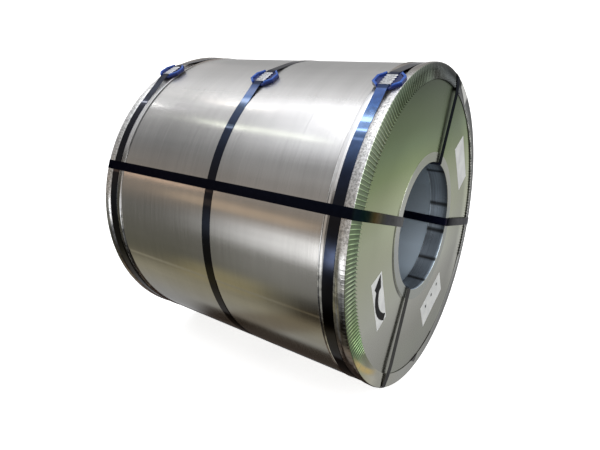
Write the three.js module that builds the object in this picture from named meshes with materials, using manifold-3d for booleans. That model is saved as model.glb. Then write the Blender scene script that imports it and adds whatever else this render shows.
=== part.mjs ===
// A packed steel coil, lying with its bore level along X.
//
// The strip is wound into one heavy ring. A flat sheet disc covers each end, a pleated
// L-section ring guards each outer edge and a plain one each edge of the bore. Three belly
// straps run round the coil and four eye straps run through the bore and back over the barrel.
// Belly straps are closed over octagonal plastic pads, eye straps on the end that faces -X.

import * as THREE from 'three'
import * as BufferGeometryUtils from 'three/addons/utils/BufferGeometryUtils.js'
import Module from 'manifold-3d'

const wasm = await Module()
wasm.setup()

// Driving dimensions, in millimetres and degrees.
const coilRadius = 618
const boreRadius = 254
const stripWidth = 1127
const telescoping = 1.2
const telescopeRadius = 430

const sheet = 1
const clearance = 0.4
const endClearance = 0.3

const discRim = 2
const discBoreMargin = 2

const barrelFlange = 96
const faceFlange = 62
const flangeLift = 4.5
const pleatCount = 264
const pleatHeight = 5
const crestHeight = 4.6
const crestFlat = 4
const crestSlope = 10
const cornerDepth = 4
const cornerRise = 1.6
const beadWidth = 8
const beadHeight = 2.2
const plainArcs = [[-155, -91], [47, 60]]

const boreFlange = 38
const boreTube = 78
const boreCorner = 1.5

const strapThickness = 0.8
const bellyStrapWidth = 37
const bellyStrapInset = { front: 52.5, back: 47.5 }
const middleStrapAside = 2
const eyeStrapWidth = 34
const eyeStrapLines = [
  { angle: 158.7, aside: 0 }, { angle: 63.3, aside: 18.5 },
  { angle: -16.7, aside: 10 }, { angle: -121.6, aside: -20 },
]
const eyeCornerBend = 5
const eyeCornerStand = 1.7
const eyeBoreBend = 6
const eyeBoreStand = 5.3

const sealLength = 62
const sealMargin = 3.5
const sealWall = 0.8
const sealCrimp = 1.6
const crimpSteps = 5
const padSpan = 104
const padCorner = 32
const padHeight = 15.5
const padFloor = 8
const padLedge = 9.5
const padRim = 7
const padSlot = 52
const padAside = 3
const bellySealAngles = { front: 115, middle: 115.7, back: 114.9 }

// Round pieces share one set of stations, with a flat centred at the bottom.
const stations = 66
const boreStations = 44

const halfWidth = stripWidth / 2
const discInner = halfWidth + endClearance
const discOuter = discInner + sheet
const flangeSeat = discOuter + endClearance
const protectorRadius = coilRadius + clearance + sheet
const crestRadius = protectorRadius + crestHeight
const flangeEdgeRadius = crestRadius - faceFlange
const pleatTop = flangeSeat + flangeLift + pleatHeight + sheet
const axisHeight = crestRadius * Math.cos(Math.PI / stations)

const mergeTolerance = 1e-4
const radians = THREE.MathUtils.degToRad
const steel = (name, color, roughness, metalness = 1) =>
  new THREE.MeshStandardMaterial({ name, color, roughness, metalness })

const coilSteel = steel('coil_steel', 0xb9b8b4, 0.28)
const discSteel = steel('disc_steel', 0xa3a89a, 0.22)
const galvanised = steel('galvanised', 0xb4b6b0, 0.42)
const boreSteel = steel('bore_steel', 0xb7bab6, 0.3)
const strapPaint = steel('strap_paint', 0x10131c, 0.25, 0.2)
const sealSteel = steel('seal_steel', 0xc9c8cc, 0.32)
const padPlastic = steel('pad_plastic', 0x2f4f9e, 0.4, 0)

const coil = new THREE.Group()
coil.position.z = axisHeight

function add(parent, name, geometry, material) {
  const mesh = new THREE.Mesh(geometry, material)
  mesh.name = name
  parent.add(mesh)
  return mesh
}

// Turns a closed profile of [x, radius] points round the X axis.
function turned(profile, segments) {
  const points = [...profile, profile[0]].map(([x, radius]) => new THREE.Vector2(radius, -x))
  const start = Math.PI + Math.PI / segments
  return new THREE.LatheGeometry(points, segments, start, 2 * Math.PI).rotateZ(Math.PI / 2)
}

// One ring of vertices: place(angle, index) gives [x, radius] at each station.
function ring(count, phase, place) {
  return Array.from({ length: count }, (_, index) => {
    const angle = -Math.PI / 2 + (index + phase) * 2 * Math.PI / count
    return { angle, at: place(angle, index) }
  })
}

// Joins rings into one closed skin. Neighbouring rings may differ in count: each step round
// the coil goes on along the ring whose next vertex comes first.
function skin(rings) {
  const positions = []
  const faces = []
  const first = []
  for (const vertices of rings) {
    first.push(positions.length / 3)
    for (const { angle, at: [x, radius] } of vertices) {
      positions.push(x, radius * Math.cos(angle), radius * Math.sin(angle))
    }
  }
  rings.forEach((near, index) => {
    const next = (index + 1) % rings.length
    const far = rings[next]
    const nearVertex = (i) => first[index] + i % near.length
    const farVertex = (i) => first[next] + i % far.length
    const nearAngle = (i) => near[i % near.length].angle + (i < near.length ? 0 : 2 * Math.PI)
    const farAngle = (i) => far[i % far.length].angle + (i < far.length ? 0 : 2 * Math.PI)
    let i = 0
    let j = 0
    while (i < near.length || j < far.length) {
      const alongNear = j >= far.length || (i < near.length
        && nearAngle(i) + nearAngle(i + 1) <= farAngle(j) + farAngle(j + 1))
      if (alongNear) {
        faces.push(nearVertex(i), farVertex(j), nearVertex(i + 1))
        i += 1
      } else {
        faces.push(nearVertex(i), farVertex(j), farVertex(j + 1))
        j += 1
      }
    }
  })
  const geometry = new THREE.BufferGeometry()
  geometry.setAttribute('position', new THREE.Float32BufferAttribute(positions, 3))
  geometry.setIndex(faces)
  geometry.computeVertexNormals()
  return geometry
}

// Moves each vertex of a closed 2-D loop outward along its mitred corner.
function offset(loop, distance) {
  return loop.map((point, index) => {
    const before = loop[(index + loop.length - 1) % loop.length]
    const after = loop[(index + 1) % loop.length]
    const into = point.clone().sub(before).normalize()
    const out = after.clone().sub(point).normalize()
    const mitre = new THREE.Vector2(into.y + out.y, -into.x - out.x).normalize()
    const across = mitre.dot(new THREE.Vector2(into.y, -into.x))
    return point.clone().addScaledVector(mitre, distance / across)
  })
}

// A flat band that follows a closed loop, which runs anticlockwise along the band's inside.
function band(loop, width) {
  const shape = new THREE.Shape(offset(loop, strapThickness))
  shape.holes.push(new THREE.Path(loop))
  return new THREE.ExtrudeGeometry(shape, { depth: width, bevelEnabled: false, curveSegments: 1 })
    .translate(0, 0, -width / 2)
}

function solid(geometry) {
  const bare = geometry.clone()
  bare.deleteAttribute('normal')
  bare.deleteAttribute('uv')
  const merged = BufferGeometryUtils.mergeVertices(bare, mergeTolerance)
  return new wasm.Manifold(new wasm.Mesh({
    numProp: 3,
    vertProperties: Float32Array.from(merged.attributes.position.array),
    triVerts: Uint32Array.from(merged.index.array),
  }))
}

function cut(body, ...tools) {
  const rest = tools.reduce((left, tool) => left.subtract(solid(tool)), solid(body))
  const mesh = rest.getMesh()
  const geometry = new THREE.BufferGeometry()
  geometry.setAttribute('position', new THREE.BufferAttribute(mesh.vertProperties, 3))
  geometry.setIndex(new THREE.BufferAttribute(mesh.triVerts, 1))
  geometry.computeVertexNormals()
  return geometry
}

// The wound strip: its inner turns stand a little proud of the outer ones at both ends.
function woundCoil() {
  const outerEnd = halfWidth - telescoping
  return turned([
    [-halfWidth, boreRadius], [halfWidth, boreRadius],
    [halfWidth, telescopeRadius], [outerEnd, telescopeRadius],
    [outerEnd, coilRadius], [-outerEnd, coilRadius],
    [-outerEnd, telescopeRadius], [-halfWidth, telescopeRadius],
  ], stations)
}

function endDisc() {
  const inner = boreRadius + discBoreMargin
  const outer = coilRadius - discRim
  return turned([
    [discInner, inner], [discOuter, inner], [discOuter, outer], [discInner, outer],
  ], stations)
}

// The inner protector: a flange on the disc and a tube that reaches into the bore.
const boreFlats = boreRadius * Math.cos(Math.PI / stations)
const tubeRadius = boreFlats - endClearance - sheet
const boreFace = flangeSeat + sheet
function innerEdgeProtector() {
  const flangeRadius = tubeRadius + sheet + boreFlange
  const tubeEnd = boreFace - boreTube
  return turned([
    [tubeEnd, tubeRadius], [boreFace - boreCorner, tubeRadius],
    [boreFace, tubeRadius + boreCorner], [boreFace, flangeRadius],
    [flangeSeat, flangeRadius], [flangeSeat, tubeRadius + sheet],
    [tubeEnd, tubeRadius + sheet],
  ], boreStations)
}

// The outer protector: a beaded flange on the barrel, a raised fold at the corner, and a face
// flange whose spare metal is taken up in pleats. They rise from nothing at the corner to their
// full height at the inner edge, and they leave out the arcs where the ring's ends lap.
function outerEdgeProtector() {
  const isPlain = (angle) => plainArcs.some(([from, to]) => {
    const turn = THREE.MathUtils.euclideanModulo(THREE.MathUtils.radToDeg(angle) - from, 360)
    return turn < to - from
  })
  const edge = (lift) => ring(2 * pleatCount, 0, (angle, index) => {
    const rise = index % 2 && !isPlain(angle) ? pleatHeight : 0
    return [flangeSeat + flangeLift + rise + lift, flangeEdgeRadius]
  })
  const corner = (lift) => ring(pleatCount, 0, () =>
    [flangeSeat + lift, protectorRadius - sheet + cornerRise + lift])
  const hoop = (x, radius) => ring(stations, 0.5, () => [x, radius])
  const crest = flangeSeat + sheet - cornerDepth
  const lip = flangeSeat + sheet - barrelFlange
  const slope = crest - crestFlat - crestSlope
  const inside = protectorRadius - sheet
  return skin([
    edge(sheet), corner(sheet),
    hoop(crest, crestRadius), hoop(crest - crestFlat, crestRadius), hoop(slope, protectorRadius),
    hoop(lip + beadWidth, protectorRadius), hoop(lip + beadWidth / 2, protectorRadius + beadHeight),
    hoop(lip, protectorRadius), hoop(lip, inside),
    hoop(slope, inside), hoop(crest - crestFlat / 2, crestRadius - sheet),
    corner(0), edge(0),
  ])
}

for (const [side, sign] of [['front', 1], ['back', -1]]) {
  const end = new THREE.Group()
  end.rotation.z = sign > 0 ? 0 : Math.PI
  add(end, `end_disc_${side}`, endDisc(), discSteel)
  add(end, `inner_edge_protector_${side}`, innerEdgeProtector(), boreSteel)
  add(end, `outer_edge_protector_${side}`, outerEdgeProtector(), galvanised)
  coil.add(end)
}
add(coil, 'steel_coil', woundCoil(), coilSteel)

// Height above the strap's seat, at the middle of a seal, of the underside of the strap.
const padSeat = clearance
const sealedStrap = padSeat + padFloor + 2 * clearance + sealWall
const strapLeaves = padSeat + padFloor + clearance

// A taut strap takes the convex outline of what it goes round: it skips each point that lies
// inside the line between its neighbours.
function taut(points) {
  const loop = points.sort((a, b) => a.angle() - b.angle())
  const isSlack = (point, index) => {
    const into = point.clone().sub(loop[(index + loop.length - 1) % loop.length])
    const out = loop[(index + 1) % loop.length].clone().sub(point)
    return into.cross(out) <= 0
  }
  for (let slack = loop.findIndex(isSlack); slack >= 0; slack = loop.findIndex(isSlack)) {
    loop.splice(slack, 1)
  }
  return loop
}

// A belly strap goes round the facets of its seat and over its pad, which rests on the highest
// metal under it.
function bellyStrap(seat, padRest, padAngle) {
  const pad = radians(padAngle)
  const seated = ring(stations, 0.5, () => [0, seat + clearance]).map(({ angle, at }) =>
    new THREE.Vector2(at[1] * Math.cos(angle), at[1] * Math.sin(angle)))
  const raised = [
    [padSpan / 2, strapLeaves], [sealLength / 2, sealedStrap],
    [-sealLength / 2, sealedStrap], [-padSpan / 2, strapLeaves],
  ].map(([along, height]) =>
    new THREE.Vector2(padRest + height, along).rotateAround(new THREE.Vector2(), pad))
  const axes = new THREE.Matrix4().makeBasis(
    new THREE.Vector3(0, 1, 0), new THREE.Vector3(0, 0, 1), new THREE.Vector3(1, 0, 0))
  return band(taut([...seated, ...raised]), bellyStrapWidth).applyMatrix4(axes)
}

// A seal is a sleeve along Y, pinched in at its sides between the crimps. Z is up from the
// strap's underside, which lies at zero.
function seal(strapWidth) {
  const innerWidth = strapWidth + 2 * clearance
  const outerWidth = strapWidth + 2 * sealMargin
  const box = (width, low, high) => [
    [-width / 2, low], [width / 2, low], [width / 2, high], [-width / 2, high],
  ].map(([x, y]) => new THREE.Vector2(x, y))
  const top = strapThickness + clearance
  const shape = new THREE.Shape(box(outerWidth, -clearance - sealWall, top + sealWall))
  shape.holes.push(new THREE.Path(box(innerWidth, -clearance, top)))
  const geometry = new THREE.ExtrudeGeometry(shape, {
    depth: sealLength, steps: crimpSteps, bevelEnabled: false,
  }).translate(0, 0, -sealLength / 2)
  const place = geometry.attributes.position
  for (let i = 0; i < place.count; i += 1) {
    const step = Math.round((place.getZ(i) / sealLength + 0.5) * crimpSteps)
    const isSide = Math.abs(place.getX(i)) > (innerWidth + outerWidth) / 4
    if (isSide && step % 2) place.setX(i, place.getX(i) - Math.sign(place.getX(i)) * sealCrimp)
  }
  return geometry.rotateX(Math.PI / 2)
}

// A pad is an octagonal tray with a ledge inside its rim and a channel across it for the strap.
function octagon(span, corner, height) {
  const half = span / 2
  const flat = half - corner
  const outline = [
    [half, -flat], [half, flat], [flat, half], [-flat, half],
    [-half, flat], [-half, -flat], [-flat, -half], [flat, -half],
  ].map(([x, y]) => new THREE.Vector2(x, y))
  return new THREE.ExtrudeGeometry(new THREE.Shape(outline), { depth: height, bevelEnabled: false })
}

function sealPad() {
  const pocket = octagon(padSpan - 2 * padRim, padCorner - padRim / 2, padHeight)
    .translate(0, 0, padLedge)
  const slot = new THREE.BoxGeometry(padSlot, 2 * padSpan, padHeight)
    .translate(0, 0, padFloor + padHeight / 2)
  return cut(octagon(padSpan, padCorner, padHeight), pocket, slot)
}

const bellyStraps = [
  { name: 'front', x: halfWidth - bellyStrapInset.front, seat: protectorRadius, padRest: crestRadius },
  { name: 'middle', x: middleStrapAside, seat: coilRadius, padRest: coilRadius },
  { name: 'back', x: bellyStrapInset.back - halfWidth, seat: protectorRadius, padRest: crestRadius },
]
bellyStraps.forEach(({ name, x, seat, padRest }) => {
  const angle = bellySealAngles[name]
  const strap = add(coil, `belly_strap_${name}`, bellyStrap(seat, padRest, angle), strapPaint)
  strap.position.x = x
  const station = new THREE.Group()
  station.rotation.x = radians(angle - 90)
  station.position.set(x, padRest * Math.cos(radians(angle)), padRest * Math.sin(radians(angle)))
  add(station, `seal_pad_${name}`, sealPad(), padPlastic).position.set(padAside, 0, padSeat)
  add(station, `belly_seal_${name}`, seal(bellyStrapWidth), sealSteel).position.z = sealedStrap
  coil.add(station)
})

// Eye straps: the loop, as [x, radius], that bends round wide of the corners of the bore, rests
// on the pleats' inner edge and comes down to the raised corners of the coil.
const eyeRun = crestRadius + clearance
const eyePleat = pleatTop + clearance
const tubeFlats = tubeRadius * Math.cos(Math.PI / boreStations)
const eyeBore = Math.sqrt((tubeFlats - clearance) ** 2 - (eyeStrapWidth / 2) ** 2) - endClearance
const eyeFace = boreFace + eyeBoreStand
const eyeShoulder = boreFace + clearance + eyeCornerStand
function eyeStrap() {
  const bend = [0, 1 / 2, 1].map((share) => [
    eyeFace - eyeBoreBend * (1 - Math.sin(share * Math.PI / 2)),
    eyeBore + eyeBoreBend * (1 - Math.cos(share * Math.PI / 2)),
  ])
  const half = [
    ...bend, [eyePleat, flangeEdgeRadius],
    [eyeShoulder, eyeRun - eyeCornerBend], [eyeShoulder - eyeCornerBend, eyeRun],
  ]
  const mirrored = half.map(([x, radius]) => [-x, radius]).reverse()
  return band([...half, ...mirrored].map(([x, y]) => new THREE.Vector2(x, y)), eyeStrapWidth)
}

// Swings each point of a spoke round the axis, so that its run over the end face is a straight
// line that passes the axis at this distance.
const swing = (aside, radius) => Math.asin(aside / radius)
function swung(spoke, aside) {
  const place = spoke.attributes.position
  for (let i = 0; i < place.count; i += 1) {
    const point = new THREE.Vector2(place.getY(i), place.getZ(i))
    point.rotateAround(new THREE.Vector2(), swing(aside, point.x))
    place.setY(i, point.x)
    place.setZ(i, point.y)
  }
  return spoke
}

const eyeSealRadius = (boreRadius + coilRadius) / 2
const eyeSlope = (eyePleat - eyeFace) / (flangeEdgeRadius - eyeBore - eyeBoreBend)
const eyeSealDepth = eyeFace + eyeSlope * (eyeSealRadius - eyeBore - eyeBoreBend)
eyeStrapLines.forEach(({ angle, aside }, index) => {
  const spoke = new THREE.Group()
  spoke.rotation.x = radians(angle)
  add(spoke, `eye_strap_${index + 1}`, swung(eyeStrap(), aside), strapPaint)
  const buckle = add(spoke, `eye_seal_${index + 1}`, seal(eyeStrapWidth), sealSteel)
  const along = eyeSealRadius * Math.cos(swing(aside, eyeSealRadius))
  buckle.position.set(-eyeSealDepth, along, aside)
  buckle.rotation.set(0, -Math.PI / 2, Math.atan(eyeSlope), 'ZYX')
  coil.add(spoke)
})

const object = new THREE.Group()
object.name = 'steel_coil_package'
object.add(coil)

export default object
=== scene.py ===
from math import acos, asin, atan2, copysign, cos, degrees, hypot, pi, radians, sin

import bmesh
import bpy
from mathutils import Matrix, Vector


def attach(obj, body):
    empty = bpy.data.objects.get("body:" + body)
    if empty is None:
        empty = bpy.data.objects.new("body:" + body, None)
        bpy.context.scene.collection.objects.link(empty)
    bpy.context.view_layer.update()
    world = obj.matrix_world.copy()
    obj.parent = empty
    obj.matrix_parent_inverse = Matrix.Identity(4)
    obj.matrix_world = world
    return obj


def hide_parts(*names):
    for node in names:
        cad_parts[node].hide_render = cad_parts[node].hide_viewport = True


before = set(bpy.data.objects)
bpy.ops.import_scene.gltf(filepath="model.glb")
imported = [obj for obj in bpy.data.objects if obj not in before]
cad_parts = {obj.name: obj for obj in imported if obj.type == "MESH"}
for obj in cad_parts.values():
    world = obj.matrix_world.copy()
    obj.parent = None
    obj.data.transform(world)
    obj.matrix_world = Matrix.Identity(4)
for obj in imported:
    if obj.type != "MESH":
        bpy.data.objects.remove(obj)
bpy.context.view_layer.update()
print("frame loaded,", len(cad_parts), "CAD nodes")

# Lengths are in metres. The coil's axis runs along X at axisHeight, and angles go round it
# in degrees from +Y towards +Z: 90 is the top, 180 the side that faces the camera.
axisHeight = 0.62329


def addCamera():
    view = {"lens": 28.24, "shiftX": -0.0476, "shiftY": -0.0636,
            "place": (1.1753, -1.6587, 1.2998), "down": 0.2909, "turn": 0.5693}
    camera = bpy.data.objects.new("camera", bpy.data.cameras.new("camera"))
    camera.data.lens = view["lens"]
    camera.data.shift_x = view["shiftX"]
    camera.data.shift_y = view["shiftY"]
    camera.location = view["place"]
    camera.rotation_euler = (pi / 2 - view["down"], 0, view["turn"])
    bpy.context.scene.collection.objects.link(camera)
    bpy.context.scene.camera = camera


addCamera()
print("camera placed")


def colour(red, green, blue):
    # a screen colour, 0 to 255, as the linear colour that shaders take
    return tuple((c / 255 / 12.92) if c < 10.3 else ((c / 255 + 0.055) / 1.055) ** 2.4
                 for c in (red, green, blue))


def addNode(tree, kind, inputs=(), **settings):
    node = tree.nodes.new("ShaderNode" + kind)
    for key, value in settings.items():
        setattr(node, key, value)
    for key, value in dict(inputs).items():
        if isinstance(value, bpy.types.NodeSocket):
            tree.links.new(value, node.inputs[key])
        else:
            node.inputs[key].default_value = value
    return node


def math(tree, operation, first, second=0.0):
    return addNode(tree, "Math", {0: first, 1: second}, operation=operation).outputs[0]


def spread(tree, value, low, high, toLow=0.0, toHigh=1.0, smooth=False):
    kind = "SMOOTHSTEP" if smooth else "LINEAR"
    return addNode(tree, "MapRange", {"Value": value, "From Min": low, "From Max": high,
                                      "To Min": toLow, "To Max": toHigh},
                   interpolation_type=kind).outputs["Result"]


def ramp(tree, value, stops):
    # each stop is its place, then a number, a linear colour or a screen colour's three parts
    node = addNode(tree, "ValToRGB", {"Fac": value})
    elements = node.color_ramp.elements
    elements[0].position = stops[0][0]
    elements[1].position = stops[-1][0]
    for stop in stops[1:-1]:
        elements.new(stop[0])
    for element, (_, *parts) in zip(elements, stops):
        tone = colour(*parts) if len(parts) == 3 else parts[0]
        element.color = (*tone, 1) if isinstance(tone, tuple) else (tone, tone, tone, 1)
    return node.outputs["Color"]


def within(tree, value, start, full, fading, end):
    # rises from 0 to 1 over the first two numbers and falls back over the last two
    return ramp(tree, value, [(start, 0.0), (full, 1.0), (fading, 1.0), (end, 0.0)])


def blendColours(tree, share, first, second, kind="MIX"):
    node = addNode(tree, "Mix", data_type="RGBA", blend_type=kind)
    for key, value in (("Factor_Float", share), ("A_Color", first), ("B_Color", second)):
        socket = next(s for s in node.inputs if s.identifier == key)
        if isinstance(value, bpy.types.NodeSocket):
            tree.links.new(value, socket)
        else:
            socket.default_value = value if isinstance(value, (int, float)) else (*value, 1)
    return next(s for s in node.outputs if s.identifier == "Result_Color")


def times(tree, first, second, share=1.0):
    return blendColours(tree, share, first, second, "MULTIPLY")


def noise(tree, place, scale, detail=2.0, stretch=(1, 1, 1), rough=0.5):
    moved = addNode(tree, "Mapping", {"Vector": place, "Scale": stretch}).outputs["Vector"]
    return addNode(tree, "TexNoise", {"Vector": moved, "Scale": scale, "Detail": detail,
                                      "Roughness": rough}).outputs["Fac"]


def newFinish(name, **values):
    finish = bpy.data.materials.new(name)
    finish.use_nodes = True
    shader = finish.node_tree.nodes["Principled BSDF"]
    for key, value in values.items():
        socket = shader.inputs[key.replace("_", " ")]
        socket.default_value = (*value, 1) if isinstance(value, tuple) else value
    return finish, finish.node_tree, shader


def drive(tree, shader, **values):
    for key, value in values.items():
        tree.links.new(value, shader.inputs[key.replace("_", " ")])


def addBump(tree, shader, height, strength, distance, over=None):
    inputs = {"Height": height, "Strength": strength, "Distance": distance}
    if over:
        inputs["Normal"] = over
    relief = addNode(tree, "Bump", inputs).outputs["Normal"]
    tree.links.new(relief, shader.inputs["Normal"])
    return relief


def objectPlace(tree):
    return addNode(tree, "TexCoord").outputs["Object"]


def coilPlace(tree):
    # where a point is on the coil: along the axis, turn as a share of 360 degrees, radius
    turned = addNode(tree, "Mapping", {"Vector": objectPlace(tree), "Scale": (1, -1, -1),
                                       "Location": (0, 0, axisHeight)}).outputs["Vector"]
    parts = addNode(tree, "SeparateXYZ", {"Vector": turned}).outputs
    angle = math(tree, "ARCTAN2", parts["Z"], parts["Y"])
    flat = addNode(tree, "VectorMath", {0: turned, 1: (0, 1, 1)}, operation="MULTIPLY").outputs[0]
    radius = addNode(tree, "VectorMath", {0: flat}, operation="LENGTH").outputs["Value"]
    return parts["X"], spread(tree, angle, -pi, pi), radius


def vertsOf(geom):
    return [v for v in geom if isinstance(v, bmesh.types.BMVert)]


def turn(points, steps, start=0.0):
    # a profile of (x, radius) points spun round the coil's axis: one share of the turn is
    # spun, then doubled until the ring closes, which is much quicker than one long spin
    bm = bmesh.new()
    verts = [bm.verts.new((x, radius, axisHeight)) for x, radius in points]
    edges = [bm.edges.new(pair) for pair in zip(verts, verts[1:] + verts[:1])]
    centre = (0, 0, axisHeight)
    fewest = 12
    bmesh.ops.rotate(bm, verts=verts, cent=centre, matrix=Matrix.Rotation(radians(start), 3, "X"))
    share = 1
    while steps % 2 == 0 and steps > fewest:
        steps //= 2
        share *= 2
    bmesh.ops.spin(bm, geom=verts + edges, cent=centre, axis=(1, 0, 0), dvec=(0, 0, 0),
                   angle=2 * pi / share, steps=steps, use_merge=share == 1, use_duplicate=False)
    while share > 1:
        more = bmesh.ops.duplicate(bm, geom=bm.verts[:] + bm.edges[:] + bm.faces[:])["geom"]
        bmesh.ops.rotate(bm, verts=vertsOf(more), cent=centre,
                         matrix=Matrix.Rotation(2 * pi / share, 3, "X"))
        share //= 2
    bmesh.ops.remove_doubles(bm, verts=bm.verts, dist=1e-5)
    bmesh.ops.recalc_face_normals(bm, faces=bm.faces)
    return bm


def partWay(value, start, end):
    return min(1.0, max(0.0, (value - start) / (end - start)))


def onCoil(vert):
    y = vert.co.y
    z = vert.co.z - axisHeight
    return vert.co.x, hypot(y, z), degrees(atan2(z, y)) % 360


def setOnCoil(vert, x, radius, angle):
    a = radians(angle)
    vert.co = (x, radius * cos(a), axisHeight + radius * sin(a))


def finishPiece(name, bm, finish, nodes=(), smooth=40, bevel=None):
    for face in bm.faces:
        face.smooth = True
    for edge in bm.edges:
        sharp = len(edge.link_faces) == 2 and degrees(edge.calc_face_angle(0)) > smooth
        edge.smooth = not sharp
    mesh = bpy.data.meshes.new(name)
    bm.to_mesh(mesh)
    bm.free()
    piece = bpy.data.objects.new(name, mesh)
    bpy.context.scene.collection.objects.link(piece)
    mesh.materials.append(finish)
    if bevel:
        rounding = piece.modifiers.new("rounding", "BEVEL")
        rounding.width = bevel
        rounding.segments = 2
        rounding.limit_method = "ANGLE"
        rounding.angle_limit = radians(35)
        rounding.use_clamp_overlap = True
    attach(piece, "root")
    if nodes:
        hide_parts(*nodes)


def finishBoth(name, bm, finish, node):
    # the piece at the back end is the front one after half a turn about the upright
    other = bm.copy()
    bmesh.ops.rotate(other, verts=other.verts, cent=(0, 0, 0), matrix=Matrix.Rotation(pi, 3, "Z"))
    finishPiece(name + "Back", other, finish, [node + "_back"])
    finishPiece(name + "Front", bm, finish, [node + "_front"])


def makeCoilSteel():
    finish, tree, shader = newFinish("coilSteel")
    x, angle, radius = coilPlace(tree)
    place = objectPlace(tree)
    grain = noise(tree, place, 1.0, 3.0, (420, 5, 5), 0.6)
    bands = noise(tree, place, 1.0, 2.0, (14, 1.2, 1.2))
    rolled = noise(tree, place, 1.0, 3.0, (0.9, 16, 16), 0.55)
    inBore = spread(tree, radius, 0.26, 0.30, 1.0, 0.0)
    tone = blendColours(tree, inBore, colour(212, 211, 210), colour(160, 172, 188))
    tone = times(tree, tone, ramp(tree, grain, [(0.3, 0.94), (0.7, 1.04)]))
    tone = times(tree, tone, ramp(tree, bands, [(0.3, 0.92), (0.7, 1.05)]), 0.6)
    tone = times(tree, tone, ramp(tree, rolled, [(0.3, 0.92), (0.7, 1.06)]), 0.6)
    # painted light and shade inside the bore: the tone changes round it and grows brighter towards
    # both open ends
    boreLightAndShade = ramp(tree, angle, [(0.0, 1.4), (0.08, 1.05), (0.17, 0.65), (0.25, 0.45), (0.5, 0.8),
                              (0.72, 0.7), (0.76, 0.8), (0.81, 1.6), (0.88, 2.0), (0.94, 1.6),
                              (1.0, 1.4)])
    boreLightAndShade = times(tree, boreLightAndShade, colour(150, 162, 172))
    boreLightAndShade = times(tree, boreLightAndShade, spread(tree, math(tree, "ABSOLUTE", x), 0.3, 0.49, 0.75, 1.25))
    tone = blendColours(tree, inBore, tone, boreLightAndShade)
    duller = ramp(tree, angle, [(0.25, 0.12), (0.3, 0.2), (0.335, 0.2), (0.36, 0.0)])
    rough = math(tree, "ADD", spread(tree, grain, 0.25, 0.75, 0.12, 0.19), duller)
    rough = math(tree, "MAXIMUM", rough, math(tree, "MULTIPLY", inBore, 0.3))
    drive(tree, shader, Base_Color=tone, Roughness=rough,
          Metallic=spread(tree, radius, 0.2545, 0.26, 0.4, 1.0))
    fine = addBump(tree, shader, grain, 0.03, 0.0002)
    outside = spread(tree, radius, 0.26, 0.3, 0.0, 0.2)
    addBump(tree, shader, rolled, outside, 0.001, over=fine)
    return finish


def makeCoil():
    coil = {"outer": 0.618, "bore": 0.254, "halfWidth": 0.5635, "turns": 26,
            "groove": 0.0006, "grooveHalf": 0.0008, "telescoped": 0.0012, "telescopeRadius": 0.43,
            "sheet": 0.0007, "tailAngle": 191.0, "steps": 640, "close": 1e-5, "pastTail": 1e-4}
    end = [(coil["halfWidth"], coil["bore"])]
    pitch = (coil["outer"] - coil["bore"]) / coil["turns"]
    for i in range(1, coil["turns"]):
        radius = coil["bore"] + i * pitch
        x = coil["halfWidth"] - (coil["telescoped"] if radius > coil["telescopeRadius"] else 0)
        end += [(x, radius - coil["grooveHalf"]), (x - coil["groove"], radius),
                (x, radius + coil["grooveHalf"])]
    end.append((coil["halfWidth"] - coil["telescoped"], coil["outer"]))
    profile = end + [(-x, radius) for x, radius in reversed(end)]
    bm = turn(profile, coil["steps"], coil["tailAngle"])
    for vert in bm.verts:
        x, radius, angle = onCoil(vert)
        if radius > coil["outer"] - coil["close"]:
            wound = ((coil["tailAngle"] - angle + coil["pastTail"]) % 360) / 360
            setOnCoil(vert, x, coil["outer"] - coil["sheet"] * wound, angle)
    finishPiece("woundCoil", bm, makeCoilSteel(), ["steel_coil"])


makeCoil()
print("coil made")


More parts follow.
